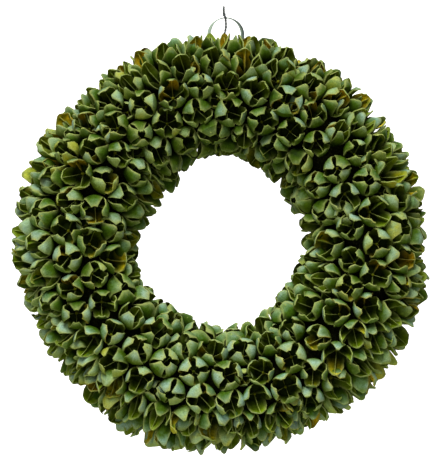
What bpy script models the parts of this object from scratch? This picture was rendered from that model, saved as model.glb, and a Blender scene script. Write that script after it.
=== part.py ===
"""A hanging door wreath of dried seed pods on a straw ring, as solids at their real size.

The wreath hangs upright: its front looks along -Y and +Z is up. The origin is the seat of the hanger's
hook. Run it with blender --background --python part.py, or from Blender's text editor.
"""

import math
import random
from collections import namedtuple

import bmesh
import bpy
import numpy as np
from mathutils import Vector

MM = 0.001

# The wreath is a torus about the Y axis, measured to the tips of its pods
RING_RADIUS = 138.5 * MM  # from the wreath's centre to the middle of its roll
ROLL_RADIUS = 61.0 * MM  # from the middle of the roll to the pods' tips
BACK_PLANE = 25.0 * MM  # the flat back lies this far behind the middle of the roll

# The straw ring, and the glue bed round its front and sides that carries the pods
STRAW_RADIUS = 33.0 * MM
BED_GAP = 0.3 * MM
BED_RADIUS = 37.5 * MM
RING_STEPS = 24
SIDE_CORNERS = (30, 60, 90)  # corners of the roll's section in degrees from its front, on each side
BED_END_CORNER = 108
STRAW_END_CORNER = 115
CLUSTERS = 12
FIRST_CLUSTER = math.radians(-15)

# The pods' layout over the roll
POD_COUNT = 240
POD_SEED = 11
LAST_POD_ROW = math.radians(95)
LAST_ROOT_ROW = math.radians(99)
ROW_MARGIN = math.radians(27)  # how much of the roll the two last rows take up beyond their middles
ROW_RISE = 0.866  # from row to row, as a share of the spacing along a row
PLACE_JITTER = 0.25  # along a row, as a share of the spacing
ROW_JITTER = 0.1  # across the rows, in radians
PUSH_STEPS = 60
PUSH_REACH = 1.1  # pods nearer than this share of the spacing push each other away
PUSH_SHARE = 0.2  # share of the lacking distance that one step gives back
GIRTH_RANGE = (1.0, 1.14)
LENGTH_RANGE = (0.9, 1.05)
SLIM_STEPS = (0.5,) * 12 + (1.0,)  # how fully each step slims the pods that meet
GIRTH_LEVEL = 53.0 * MM  # where the pods are widest, from the middle of the roll

# The pods' shape
ROOT_SINK = 2.2 * MM
ROOT_RADIUS = 4.0 * MM
FLOOR_DEPTH = 11.5 * MM  # the cup's floor, below the girth
NOTCH_DEPTH = 6.5 * MM  # the notches between the valves, below the girth
NOTCH_RADIUS = 9.2 * MM
GIRTH_RADIUS = 13.4 * MM
TIP_RADIUS = 11.2 * MM
VALVE_WALL = 1.3 * MM
VALVE_SPREAD = 0.76  # share of its slice of the pod that a valve fills at the girth
VALVE_INSIDE = 0.93  # the spread of a valve's inner side, as a share of its outer side's
VALVE_COUNTS = (4, 4, 4, 4, 4, 4, 4, 3, 4, 5)
ROOT_SHIFT = 4.5 * MM  # the furthest that a pod's root stands aside, which leans the pod
ROOT_MARGIN = 7.5 * MM  # from a root to the end of its cluster's bed
POD_GAP = 0.6 * MM

# The hanger: a flat strip bent into an arch, and a wire with a hook that stands in front of it
STRIP_WIDTH = 3.4 * MM
STRIP_THICKNESS = 0.9 * MM
STRIP_Y = 20.4 * MM
STRIP_FOOT = 152.0 * MM
ARCH_X = 4.3 * MM
ARCH_RADIUS = 16.4 * MM
ARCH_TOP = 221.0 * MM
ARCH_STEPS = 12
WIRE_DIAMETER = 1.7 * MM
WIRE_Y = 17.4 * MM
WIRE_FOOT = 150.0 * MM
WIRE_WAVE = ((2.2, 150.0), (2.4, 190.0), (2.7, 202.8), (3.9, 208.0), (4.6, 214.0), (3.6, 222.0))
HOOK_X = 2.3 * MM
HOOK_TOP = 231.5 * MM
HOOK_BEND = 3.35 * MM
HOOK_STEPS = 8
HOOK_POINT = 5.0 * MM
SOCKET_GAP = 0.3 * MM
HANGER_HALF_WIDTH = 34.0 * MM  # pods this near to the hanger keep in front of its wire

# Edges sharper than this stay sharp in the shading
STRAW_SHARP = math.radians(40)
POD_SHARP = math.radians(35)

Pod = namedtuple("Pod", "place axis root normal twist valves length cluster")


def ring_point(theta, phi, radius):
    """A point of the torus: theta runs round the wreath from +X, phi round the roll from its front."""
    reach = RING_RADIUS + radius * math.sin(phi)
    return Vector((reach * math.cos(theta), -radius * math.cos(phi), reach * math.sin(theta)))


def roll_normal(theta, phi):
    return (ring_point(theta, phi, 1.0) - ring_point(theta, phi, 0.0)).normalized()


def both_sides(end_corner):
    """The corners of the roll's section in radians, from its hole side over its front to its outer side."""
    side = [math.radians(a) for a in (*SIDE_CORNERS, end_corner)]
    return [-a for a in reversed(side)] + [0.0] + side


def faceted_point(theta, phi, radius):
    """The point at theta and phi of the flat-sided roll whose corners lie on the torus of that radius."""
    step = math.tau / RING_STEPS
    low = math.floor((theta - FIRST_CLUSTER) / step) * step + FIRST_CLUSTER
    along = (theta - low) / step
    corners = both_sides(BED_END_CORNER)
    k = max((i for i, corner in enumerate(corners[:-1]) if corner <= phi), default=0)
    across = (phi - corners[k]) / (corners[k + 1] - corners[k])
    sides = []
    for corner in corners[k : k + 2]:
        start, end = ring_point(low, corner, radius), ring_point(low + step, corner, radius)
        sides.append(start.lerp(end, along))
    return sides[0].lerp(sides[1], across)


def spread_over_roll(rng):
    """Uneven but steady places for the pods, as theta and phi: jittered rows whose pods push apart."""
    area = math.tau * RING_RADIUS * GIRTH_LEVEL * (2 * LAST_POD_ROW + ROW_MARGIN)
    spacing = math.sqrt(area / (ROW_RISE * POD_COUNT))
    rows = 1 + round(2 * LAST_POD_ROW * GIRTH_LEVEL / (ROW_RISE * spacing))
    angles = [LAST_POD_ROW * (2 * k / (rows - 1) - 1) for k in range(rows)]
    lengths = [RING_RADIUS + GIRTH_LEVEL * math.sin(angle) for angle in angles]
    counts = [round(length / sum(lengths) * POD_COUNT) for length in lengths]
    counts[rows // 2] += POD_COUNT - sum(counts)
    theta, phi = [], []
    for row, (angle, count) in enumerate(zip(angles, counts)):
        for k in range(count):
            jitter = rng.uniform(-PLACE_JITTER, PLACE_JITTER)
            theta.append(math.tau * (k + 0.5 * (row % 2) + jitter) / count)
            phi.append(angle + rng.uniform(-ROW_JITTER, ROW_JITTER))
    theta, phi = np.array(theta), np.array(phi)
    others = 1 - np.eye(POD_COUNT)
    for _ in range(PUSH_STEPS):
        reach = RING_RADIUS + GIRTH_LEVEL * np.sin(phi)
        points = [reach * np.cos(theta), -GIRTH_LEVEL * np.cos(phi), reach * np.sin(theta)]
        points = np.stack(points, axis=1)
        away = points[:, None] - points[None]
        distance = np.linalg.norm(away, axis=2) + np.eye(POD_COUNT)
        push = np.clip(PUSH_REACH * spacing - distance, 0, None) * others / distance
        move = PUSH_SHARE * (away * push[..., None]).sum(axis=1)
        along = np.stack([-np.sin(theta), 0 * theta, np.cos(theta)], axis=1)
        across = [np.cos(phi) * np.cos(theta), np.sin(phi), np.cos(phi) * np.sin(theta)]
        across = np.stack(across, axis=1)
        theta = theta + (move * along).sum(axis=1) / reach
        phi = phi + (move * across).sum(axis=1) / GIRTH_LEVEL
        phi = np.clip(phi, -LAST_POD_ROW, LAST_POD_ROW)
    return zip(theta.tolist(), phi.tolist())


def lay_out_pods():
    """Every pod's place at its girth, its leaning axis, its root on the bed, and its cluster."""
    rng = random.Random(POD_SEED)
    turn = math.tau / CLUSTERS
    pods = []
    for theta, phi in spread_over_roll(rng):
        cluster = math.floor((theta - FIRST_CLUSTER) / turn)
        shift, direction = ROOT_SHIFT * math.sqrt(rng.random()), rng.uniform(0, math.tau)
        root_phi = phi + shift * math.sin(direction) / BED_RADIUS
        reach = RING_RADIUS + BED_RADIUS * math.sin(root_phi)
        start = FIRST_CLUSTER + cluster * turn + ROOT_MARGIN / reach
        end = FIRST_CLUSTER + (cluster + 1) * turn - ROOT_MARGIN / reach
        root_theta = min(max(theta + shift * math.cos(direction) / reach, start), end)
        root_phi = min(max(root_phi, -LAST_ROOT_ROW), LAST_ROOT_ROW)
        place = ring_point(theta, phi, GIRTH_LEVEL)
        root = faceted_point(root_theta, root_phi, BED_RADIUS)
        pods.append(
            Pod(
                place=place,
                axis=(place - root).normalized(),
                root=root,
                normal=roll_normal(root_theta, root_phi),
                twist=rng.uniform(0, math.tau),
                valves=rng.choice(VALVE_COUNTS),
                length=rng.uniform(*LENGTH_RANGE),
                cluster=cluster % CLUSTERS,
            )
        )
    return pods, fitted_girths(pods, rng)


def fitted_girths(pods, rng):
    """Each pod's girth, as a share of GIRTH_RADIUS, slimmed until no pod meets another or the hanger."""
    tip = ROLL_RADIUS - GIRTH_LEVEL
    heights = np.array([-FLOOR_DEPTH, -NOTCH_DEPTH, -NOTCH_DEPTH / 2, 0, tip / 2, tip])
    stem, notch, girth = (ROOT_RADIUS + NOTCH_RADIUS) / 2, NOTCH_RADIUS, GIRTH_RADIUS
    radii = np.array([stem, notch, (notch + girth) / 2, girth, (girth + TIP_RADIUS) / 2, TIP_RADIUS])
    places = np.array([pod.place for pod in pods])
    axes = np.array([pod.axis for pod in pods])
    rings = places[:, None] + axes[:, None] * heights[None, :, None]
    apart = np.linalg.norm(rings[:, None, :, None] - rings[None, :, None, :], axis=4)
    near_hanger = (np.abs(places[:, 0] - ARCH_X) < HANGER_HALF_WIDTH) & (places[:, 2] > 0)
    furthest_back = np.where(near_hanger, WIRE_Y - WIRE_DIAMETER / 2, BACK_PLANE) - POD_GAP
    behind = ((furthest_back[:, None] - rings[..., 1]) / radii).min(axis=1)
    girths = np.array([rng.uniform(*GIRTH_RANGE) for _ in pods])
    girths = np.minimum(girths, behind)
    for gentleness in SLIM_STEPS:
        wide = girths[:, None] * radii
        share = (apart - POD_GAP) / (wide[:, None, :, None] + wide[None, :, None, :])
        share = np.where(np.eye(len(pods)), np.inf, share.min(axis=(2, 3)))
        girths = girths * np.minimum(share.min(axis=1), 1) ** gentleness
    return girths.tolist()


def add_pod(bm, pod, girth):
    """One open pod: a root sunk in the bed, a bowl, and valves whose walls stand up to a point each."""
    side = pod.axis.orthogonal().normalized()
    rise = pod.axis.cross(side)
    flat_side = (side - pod.normal * side.dot(pod.normal)).normalized()
    flat_rise = pod.normal.cross(flat_side)

    def on_pod(height, radius, angle):
        around = side * math.cos(angle) + rise * math.sin(angle)
        return bm.verts.new(pod.place + pod.axis * height + around * radius * girth)

    def in_bed(angle):
        around = flat_side * math.cos(angle) + flat_rise * math.sin(angle)
        return bm.verts.new(pod.root - pod.normal * ROOT_SINK + around * ROOT_RADIUS)

    slice_angle = math.tau / pod.valves
    starts = [pod.twist + k * slice_angle for k in range(pod.valves)]
    half = VALVE_SPREAD * slice_angle / 2
    tip_height = (ROLL_RADIUS - GIRTH_LEVEL) * pod.length
    roots = [in_bed(angle) for angle in starts]
    notches = [on_pod(-NOTCH_DEPTH, NOTCH_RADIUS, angle) for angle in starts]
    floor = on_pod(-FLOOR_DEPTH, 0, 0)
    bm.faces.new(reversed(roots))
    for k, start in enumerate(starts):
        following = (k + 1) % pod.valves
        middle = start + slice_angle / 2
        near_notch, far_notch = notches[k], notches[following]
        near, far = (on_pod(0, GIRTH_RADIUS, middle + turn) for turn in (-half, half))
        wall = GIRTH_RADIUS - VALVE_WALL
        near_wall, far_wall = (on_pod(0, wall, middle + turn * VALVE_INSIDE) for turn in (-half, half))
        tip = on_pod(tip_height, TIP_RADIUS, middle)
        outside = (
            (roots[k], roots[following], far_notch, near_notch),
            (near_notch, far_notch, far),
            (near_notch, far, near),
            (near, far, tip),
        )
        inside = (
            (floor, near_notch, near_wall),
            (floor, near_wall, far_wall),
            (floor, far_wall, far_notch),
            (far_wall, near_wall, tip),
        )
        rim = (
            (near_notch, near, near_wall),
            (near, tip, near_wall),
            (tip, far, far_wall),
            (far, far_notch, far_wall),
        )
        for corners in (*outside, *inside, *rim):
            bm.faces.new(corners)
    bmesh.ops.recalc_face_normals(bm, faces=bm.faces)


def spun_section(name, corners, start, turn, steps, closed):
    """Spins a section of the roll, given as phi and radius of its corners, round the wreath's axis."""
    bm = bmesh.new()
    face = bm.faces.new([bm.verts.new(ring_point(start, phi, radius)) for phi, radius in corners])
    section = [face, *face.edges, *face.verts]
    axis = (0, -1, 0)
    bmesh.ops.spin(
        bm, geom=section, cent=(0, 0, 0), axis=axis, angle=turn, steps=steps, use_merge=closed
    )
    if closed:
        inner_walls = [f for f in bm.faces if len(f.verts) > 4]
        bmesh.ops.delete(bm, geom=inner_walls, context="FACES_ONLY")
    bmesh.ops.recalc_face_normals(bm, faces=bm.faces)
    return mesh_of(bm, name)


def mesh_of(bm, name):
    mesh = bpy.data.meshes.new(name)
    bm.to_mesh(mesh)
    bm.free()
    return mesh


def add_object(name, data, material, parent):
    obj = bpy.data.objects.new(name, data)
    bpy.context.scene.collection.objects.link(obj)
    if material:
        data.materials.append(material)
    obj.parent = parent
    return obj


def shade_round(mesh, sharp):
    mesh.shade_smooth()
    mesh.set_sharp_from_angle(angle=sharp)


def make_material(name, colour, roughness, metallic=0.0):
    material = bpy.data.materials.new(name)
    material.use_nodes = True
    shader = material.node_tree.nodes["Principled BSDF"]
    shader.inputs["Base Color"].default_value = (*colour, 1.0)
    shader.inputs["Roughness"].default_value = roughness
    shader.inputs["Metallic"].default_value = metallic
    material.diffuse_color = (*colour, 1.0)
    return material


def make_socket(ring, name, x, y, size_x, size_y, foot):
    """Cuts a slot down into the top of the straw ring, a little wider than what stands in it."""
    top = RING_RADIUS + STRAW_RADIUS
    bottom = foot - SOCKET_GAP
    bm = bmesh.new()
    bmesh.ops.create_cube(bm, size=1.0)
    grown = (size_x + 2 * SOCKET_GAP, size_y + 2 * SOCKET_GAP, top - bottom)
    bmesh.ops.scale(bm, vec=grown, verts=bm.verts)
    bmesh.ops.translate(bm, vec=(x, y, (top + bottom) / 2), verts=bm.verts)
    cutter = add_object(name, mesh_of(bm, name), None, ring.parent)
    cutter.hide_render = True
    cutter.display_type = "WIRE"
    cut = ring.modifiers.new(name, "BOOLEAN")
    cut.operation = "DIFFERENCE"
    cut.object = cutter


def make_straw_ring(material, wreath):
    """The base: a round roll of bound straw with a flat back."""
    flat_corner = math.pi - math.acos(BACK_PLANE / STRAW_RADIUS)
    angles = [-flat_corner, *both_sides(STRAW_END_CORNER), flat_corner]
    corners = [(angle, STRAW_RADIUS) for angle in angles]
    mesh = spun_section("straw_ring", corners, FIRST_CLUSTER, math.tau, RING_STEPS, True)
    shade_round(mesh, STRAW_SHARP)
    ring = add_object("straw_ring", mesh, material, wreath)
    for side, name in ((-1, "left_strip_socket"), (1, "right_strip_socket")):
        x = ARCH_X + side * ARCH_RADIUS
        make_socket(ring, name, x, STRIP_Y, STRIP_WIDTH, STRIP_THICKNESS, STRIP_FOOT)
    foot_x = WIRE_WAVE[0][0] * MM
    make_socket(ring, "wire_socket", foot_x, WIRE_Y, WIRE_DIAMETER, WIRE_DIAMETER, WIRE_FOOT)


def make_pod_cluster(index, members, material, wreath):
    """A twelfth of the wreath's cover: a bed of glue and fibre with its pods joined to it."""
    angles = both_sides(BED_END_CORNER)
    corners = [(angle, BED_RADIUS) for angle in angles]
    corners += [(angle, STRAW_RADIUS + BED_GAP) for angle in reversed(angles)]
    turn = math.tau / CLUSTERS
    end_gap = BED_GAP / 2 / (RING_RADIUS - BED_RADIUS)
    start = FIRST_CLUSTER + index * turn + end_gap
    steps = RING_STEPS // CLUSTERS
    name = f"pod_cluster_{index + 1:02d}"
    bed = spun_section(name, corners, start, turn - 2 * end_gap, steps, False)
    cluster = add_object(name, bed, material, wreath)

    parts = bpy.data.collections.new("pods")
    bpy.context.scene.collection.children.link(parts)
    for pod, girth in members:
        bm = bmesh.new()
        add_pod(bm, pod, girth)
        piece = bpy.data.objects.new("pod", mesh_of(bm, "pod"))
        piece.parent = wreath
        parts.objects.link(piece)
    union = cluster.modifiers.new("pods", "BOOLEAN")
    union.operation = "UNION"
    union.operand_type = "COLLECTION"
    union.collection = parts
    union.solver = "EXACT"
    bpy.context.view_layer.update()
    evaluated = cluster.evaluated_get(bpy.context.evaluated_depsgraph_get())
    joined = bpy.data.meshes.new_from_object(evaluated)
    cluster.modifiers.clear()
    cluster.data = joined
    joined.name = name
    shade_round(joined, POD_SHARP)
    for piece in list(parts.objects):
        bpy.data.objects.remove(piece)
    bpy.data.collections.remove(parts)


def make_hanging_band(material, wreath):
    """A flat strip bent into an arch, face on at its feet and turned edge on at its top."""
    middle = ARCH_TOP - ARCH_RADIUS
    angles = [math.pi * (1 - k / ARCH_STEPS) for k in range(ARCH_STEPS + 1)]
    stations = [(angle, middle + ARCH_RADIUS * math.sin(angle)) for angle in angles]
    stations = [(math.pi, STRIP_FOOT), *stations, (0.0, STRIP_FOOT)]
    bm = bmesh.new()
    start = end = None
    for angle, z in stations:
        outward = Vector((math.cos(angle), 0, math.sin(angle)))
        along = Vector((math.sin(angle), 0, -math.cos(angle)))
        across = outward.lerp(Vector((0, 1, 0)), math.sin(angle)).normalized()
        half_width = across * STRIP_WIDTH / 2
        half_thickness = along.cross(across) * STRIP_THICKNESS / 2
        centre = Vector((ARCH_X + ARCH_RADIUS * math.cos(angle), STRIP_Y, z))
        signs = ((-1, -1), (1, -1), (1, 1), (-1, 1))
        corners = [centre + half_width * w + half_thickness * t for w, t in signs]
        if start is None:
            start = end = bm.faces.new([bm.verts.new(corner) for corner in corners])
            continue
        grown = bmesh.ops.extrude_face_region(bm, geom=[end])
        if end != start:
            bm.faces.remove(end)
        end = next(f for f in grown["geom"] if isinstance(f, bmesh.types.BMFace))
        for vert, corner in zip(end.verts, corners):
            vert.co = corner
    bmesh.ops.recalc_face_normals(bm, faces=bm.faces)
    add_object("hanging_band", mesh_of(bm, "hanging_band"), material, wreath)


def make_hanging_hook(material, wreath):
    """A length of wire up from the ring, with its upper end bent back into a hook."""
    points = [Vector((x * MM, WIRE_Y, z * MM)) for x, z in WIRE_WAVE]
    bend_y, bend_z = WIRE_Y + HOOK_BEND, HOOK_TOP - HOOK_BEND
    for k in range(HOOK_STEPS + 1):
        angle = math.pi * (1 - k / HOOK_STEPS)
        bend = Vector((HOOK_X, bend_y, bend_z))
        points.append(bend + HOOK_BEND * Vector((0, math.cos(angle), math.sin(angle))))
    points.append(points[-1] - Vector((0, 0, HOOK_POINT)))
    curve = bpy.data.curves.new("hanging_hook", "CURVE")
    curve.dimensions = "3D"
    curve.bevel_depth = WIRE_DIAMETER / 2
    curve.bevel_resolution = 1
    curve.use_fill_caps = True
    spline = curve.splines.new("POLY")
    spline.points.add(len(points) - 1)
    for knot, point in zip(spline.points, points):
        knot.co = (*point, 1)
    add_object("hanging_hook", curve, material, wreath)


def main():
    for obj in list(bpy.data.objects):
        bpy.data.objects.remove(obj)
    wreath = bpy.data.objects.new("wreath", None)
    bpy.context.scene.collection.objects.link(wreath)
    seat_z = HOOK_TOP - WIRE_DIAMETER / 2
    wreath.location = (-HOOK_X, -(WIRE_Y + HOOK_BEND), -seat_z)

    straw = make_material("straw", (0.42, 0.31, 0.15), 0.85)
    pods_green = make_material("painted_pods", (0.13, 0.19, 0.06), 0.7)
    strip_green = make_material("painted_strip", (0.33, 0.42, 0.33), 0.7)
    dark_wire = make_material("dark_wire", (0.05, 0.06, 0.06), 0.45, 0.8)

    make_straw_ring(straw, wreath)
    pods, girths = lay_out_pods()
    for index in range(CLUSTERS):
        members = [(pod, girth) for pod, girth in zip(pods, girths) if pod.cluster == index]
        make_pod_cluster(index, members, pods_green, wreath)
    make_hanging_band(strip_green, wreath)
    make_hanging_hook(dark_wire, wreath)


main()
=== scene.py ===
"""The looks of a door wreath of dried seed pods, and a plain stage for it.

Lengths are in metres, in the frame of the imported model. +Z is up and the wreath's front looks along -Y.
"""

import math
import random
from collections import namedtuple

import bmesh
import bpy
import numpy as np
from bpy.props import FloatProperty, FloatVectorProperty, IntProperty, PointerProperty
from bpy.types import Operator, Panel, PropertyGroup
from mathutils import Matrix, Vector, geometry, noise


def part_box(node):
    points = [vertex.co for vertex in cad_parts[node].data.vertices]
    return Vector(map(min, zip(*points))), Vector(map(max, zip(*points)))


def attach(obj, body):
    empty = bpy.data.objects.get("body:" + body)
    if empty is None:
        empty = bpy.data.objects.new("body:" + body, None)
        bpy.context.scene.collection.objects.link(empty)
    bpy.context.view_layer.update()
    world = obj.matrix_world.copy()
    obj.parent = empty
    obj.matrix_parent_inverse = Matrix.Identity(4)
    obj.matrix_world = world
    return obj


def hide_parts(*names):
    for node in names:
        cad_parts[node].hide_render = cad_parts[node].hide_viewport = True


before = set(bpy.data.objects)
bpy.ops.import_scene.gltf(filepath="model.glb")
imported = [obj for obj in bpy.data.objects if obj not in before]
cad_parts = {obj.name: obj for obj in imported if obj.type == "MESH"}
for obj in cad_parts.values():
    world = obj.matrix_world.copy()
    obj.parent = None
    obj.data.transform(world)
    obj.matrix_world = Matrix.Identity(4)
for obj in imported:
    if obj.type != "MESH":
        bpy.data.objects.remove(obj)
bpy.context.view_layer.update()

bl_info = {
    "name": "Seed Pod Wreath",
    "version": (1, 0, 0),
    "blender": (4, 5, 0),
    "location": "View3D > Sidebar > Wreath",
    "description": "Builds the looks of a door wreath of dried seed pods",
    "category": "Object",
}

BODY = "root"
MM = 0.001

# The roll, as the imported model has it
STRAW_RADIUS = 33.0 * MM
BACK_PLANE = 25.0 * MM
BED_RADIUS = 37.5 * MM
RING_LOW, RING_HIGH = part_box("straw_ring")
RING_RADIUS = (RING_HIGH.x - RING_LOW.x) / 2 - STRAW_RADIUS
CENTRE = Vector(
    ((RING_LOW.x + RING_HIGH.x) / 2, RING_HIGH.y - BACK_PLANE, (RING_LOW.z + RING_HIGH.z) / 2)
)
ROLL_RADIUS = 61.0 * MM
RING_STEPS = 24
BED_CORNERS = [math.radians(angle) for angle in (-108, -90, -60, -30, 0, 30, 60, 90, 108)]
CLUSTERS = 12
CLUSTER_TURN = math.tau / CLUSTERS
FIRST_CLUSTER = math.radians(-15)

# The pods' layout, by the same rule and draws as the solids
POD_COUNT = 240
POD_SEED = 11
LAST_POD_ROW = math.radians(95)
LAST_ROOT_ROW = math.radians(99)
ROW_MARGIN = math.radians(27)
ROW_RISE = 0.866
PLACE_JITTER = 0.25
ROW_JITTER = 0.1
PUSH_STEPS = 60
PUSH_REACH = 1.1
PUSH_SHARE = 0.2
GIRTH_RANGE = (1.0, 1.14)
LENGTH_RANGE = (0.9, 1.05)
SLIM_STEPS = (0.5,) * 12 + (1.0,)
GIRTH_LEVEL = 53.0 * MM
ROOT_SINK = 2.2 * MM
ROOT_RADIUS = 4.0 * MM
FLOOR_DEPTH = 11.5 * MM
NOTCH_DEPTH = 6.5 * MM
NOTCH_RADIUS = 9.2 * MM
GIRTH_RADIUS = 13.4 * MM
TIP_RADIUS = 11.2 * MM
VALVE_COUNTS = (4, 4, 4, 4, 4, 4, 4, 3, 4, 5)
ROOT_SHIFT = 4.5 * MM
ROOT_MARGIN = 7.5 * MM
POD_GAP = 0.6 * MM
WIRE_DIAMETER = 1.7 * MM
WIRE_Y = 17.4 * MM
ARCH_X = 4.3 * MM
HANGER_HALF_WIDTH = 34.0 * MM

# The pods' fine shape
VALVE_ACROSS = 4
VALVE_ALONG = 6
SEPTUM_ALONG = 3
SEPTUM_FOOT = 0.3
SEPTUM_TOP = 0.95
NOTCH_SHARE = 0.38  # how far up the valve's profile the notches lie
FULLNESS = 1.1  # how much fuller than the solids' pods the fine ones are
FULLER_SIDEWAYS = 0.12  # how much fuller still, where they face away from the front
CLOSER_IN_FRONT = 0.38  # how much further the valves close where the pods face the front
CLOSER_TO_HOLE = 0.45  # the same where they face the hole
PAINTED_SHADE_TO_HOLE = 0.6  # how much lower and less varied the valves' tones are where the pods face the hole: painted shade there, as more of the dark olive base shows
COATED_TO_HOLE = 0.8  # how much less bare wood shows there
SLICE_KEPT = 0.985  # a valve's share of its slice of the pod
VALVE_BULGE = 1.6  # how much wider a valve's first handle is than its foot
INNER_NARROWING = 0.3  # how much narrower its inner side is, as a share of its wall
RIB_REACH = 1.2 * MM  # how far past the pod's middle a rib reaches before it is cut off there
RIB_CLEARANCE = 0.3 * MM
RIB_DROP = 1.5 * MM
OUTSIDE_KEPT = 0.45  # the share that is kept of what stands out of the roll

# A fine pod's profile in mm at full girth. A pair is a length, and how much it grows as the pod closes.
BELLY_OUT, BELLY_HEIGHT = (15.3, 7.5), (-4.5, 4.0)
TIP_OUT, TIP_HEIGHT = (12.4, -7.4), (8.4, -0.6)
STEM_SWELL = 3.0
STEM_RISE = 3.5

# How the fine pods and their valves differ: ranges, choices and spreads
CLOSING = (-0.35, 0.75, 0.2)  # the least, the most and the usual
POD_SIZES = (0.92, 1.12)
POD_TILT = math.radians(6)
POD_PROUD = 1.2
RIB_FALLS = (0.6, 1.7)
BLUNT_TIPS = (0.16, 0.22, 0.28, 0.36, 0.46)
BLUNTER_AWAY = 0.14  # how much blunter the tips are away from the front, and again at the hole
FULLER_BY_TIP = 0.6  # how much fuller a valve with a blunt tip is
FULLER_AWAY = 0.15  # how much fuller the valves are away from the front
ROUNDER_AWAY = 0.5  # how much rounder their tips are there
HEIGHTS = (0.86, 1.08)
WIDTHS = (0.82, 1.06)
TAPERS = (0.6, 0.85)
LEAN = 0.045
SKEW = 0.035
CURLS = (-0.2, 0.8)
ROUNDINGS = (0.0, 0.5)
FLATTENINGS = (0.2, 1.0)
BARE_SHARES = (0.0, 0.0, 0.0, 0.1, 0.3, 0.6)
BARER = (-2.9, 0.95)

# How the edges waver round the hole and round the rim: waves in a turn, their size in mm, and a peak
HOLE_WAVES = ((2, 2.6, -55), (3, 2.7, 72), (4, 3.5, 204))
RIM_WAVES = ((2, 1.7, -146), (4, 1.8, -68), (5, 1.4, 161), (11, 1.3, -148))
RIM_RISE = 2.0 * MM

# Small pods tucked low in the gaps
LOW_POD_SEED = 23
LOW_POD_TRIES = 9000
LOW_POD_LEVEL = 45.0 * MM
LOW_POD_RISE = 7.0 * MM  # how much higher they stand at the roll's sides
LOW_POD_GIRTH = 0.74
LOW_POD_ROOM = 16.0 * MM  # the least distance from a low pod's girth to the stems of the others
LOW_POD_EASE = 1.0 * MM  # how much less room they need at the rim, and more at the hole
LOW_POD_SPACING = 16.0 * MM
LOW_POD_SIZES = (0.85, 1.15)
LOW_POD_LENGTHS = (0.85, 1.1)
LOW_POD_VALVES = (3, 3, 4)
LOW_ROOT_THETA, LOW_ROOT_PHI = 0.02, 0.08  # how far their roots wander, in radians

STRAW_SEED = 5

# The hanger's routes, as the solids have them
STRIP_WIDTH = 3.4 * MM
STRIP_THICKNESS = 0.9 * MM
STRIP_Y = 20.4 * MM
STRIP_FOOT = 152.0 * MM
ARCH_RADIUS = 16.4 * MM
ARCH_TOP = 221.0 * MM
WIRE_WAVE = ((2.2, 150.0), (2.4, 190.0), (2.7, 202.8), (3.9, 208.0), (4.6, 214.0), (3.6, 222.0))
HOOK_X = 2.3 * MM
HOOK_TOP = 231.5 * MM
HOOK_BEND = 3.35 * MM
HOOK_POINT = 5.0 * MM

# The photograph: its frame, and where the wreath's centre lies in it
PHOTO_WIDTH, PHOTO_HEIGHT = 434, 457
PHOTO_CENTRE_X, PHOTO_CENTRE_Y = 221.4, 243.3
METRES_PER_PIXEL = 0.971 * MM
CAMERA_DISTANCE = 2.0
SENSOR = 36.0

# The stage. A light has its place from the wreath's centre, its width and its power.
PLANE_SIZE = 9.0
BACKDROP_DISTANCE = 4.2
FLOOR_DROP = 1.5
WORLD_COLOUR = (1.0, 1.0, 0.9, 1)
WORLD_STRENGTH = 0.245
LIGHTS = {
    "top_light": ((-0.42, -1.45, 2.1), 1.5, 119),
    "front_light": ((-0.5, -2.4, -0.3), 1.2, 7),
    "low_light": ((0.2, -1.3, -1.3), 1.4, 1),
    "back_light": ((0.5, 1.7, 1.8), 1.2, 16),
}

Pod = namedtuple("Pod", "place axis root normal twist valves length cluster")
Valve = namedtuple("Valve", "middle half_slice height width taper blunt lean skew curl round flat")


def length_of(name, description, millimetres):
    return FloatProperty(name=name, description=description, default=millimetres * MM, unit="LENGTH")


def count_of(name, description, default):
    return IntProperty(name=name, description=description, default=default, min=1)


def colour_of(name, description, default):
    return FloatVectorProperty(name=name, description=description, default=default, subtype="COLOR")


class WreathSizes(PropertyGroup):
    valve_wall: length_of("Valve wall", "Thickness of a pod's valves", 1.1)
    septum_wall: length_of("Septum", "Thickness of the rib inside a valve", 1.0)
    knob_radius: length_of("Knob", "Radius of the knob in a pod's middle", 1.7)
    thread_radius: length_of("Thread", "Radius of the binding thread", 0.4)
    thread_turns: count_of("Turns", "Turns of the thread round the straw", 64)
    straws: count_of("Straws", "Loose straws on the roll's back", 900)


class WreathColours(PropertyGroup):
    tip: colour_of("Valve tip", "Paint at the valves' tips", (0.24, 0.37, 0.275))
    base: colour_of("Valve base", "Paint low on the valves", (0.054, 0.100, 0.004))
    # The inside's colour is scaled by height in the cup: painted shade deep down, brighter toward the
    # rim.
    inside: colour_of("Inside", "The pods' hollow side", (0.048, 0.078, 0.002))
    # Laid on worn edges, and more where they face up as a painted highlight.
    rim: colour_of("Rim", "The valves' thick edge", (0.29, 0.33, 0.10))
    # Bare wood inside turns from rust to yellow with random tone, and toward the rim as painted light.
    rust: colour_of("Rust", "Bare wood that shows inside", (0.24, 0.115, 0.004))
    yellow: colour_of("Yellow", "Yellowed skin inside", (0.80, 0.56, 0.01))
    straw: colour_of("Straw", "The ring's straw", (0.46, 0.34, 0.15))


def ring_point(theta, phi, radius):
    """A point of the roll in the wreath's own frame, whose middle is the origin."""
    reach = RING_RADIUS + radius * math.sin(phi)
    return Vector((reach * math.cos(theta), -radius * math.cos(phi), reach * math.sin(theta)))


def roll_normal(theta, phi):
    return (ring_point(theta, phi, 1.0) - ring_point(theta, phi, 0.0)).normalized()


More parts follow.
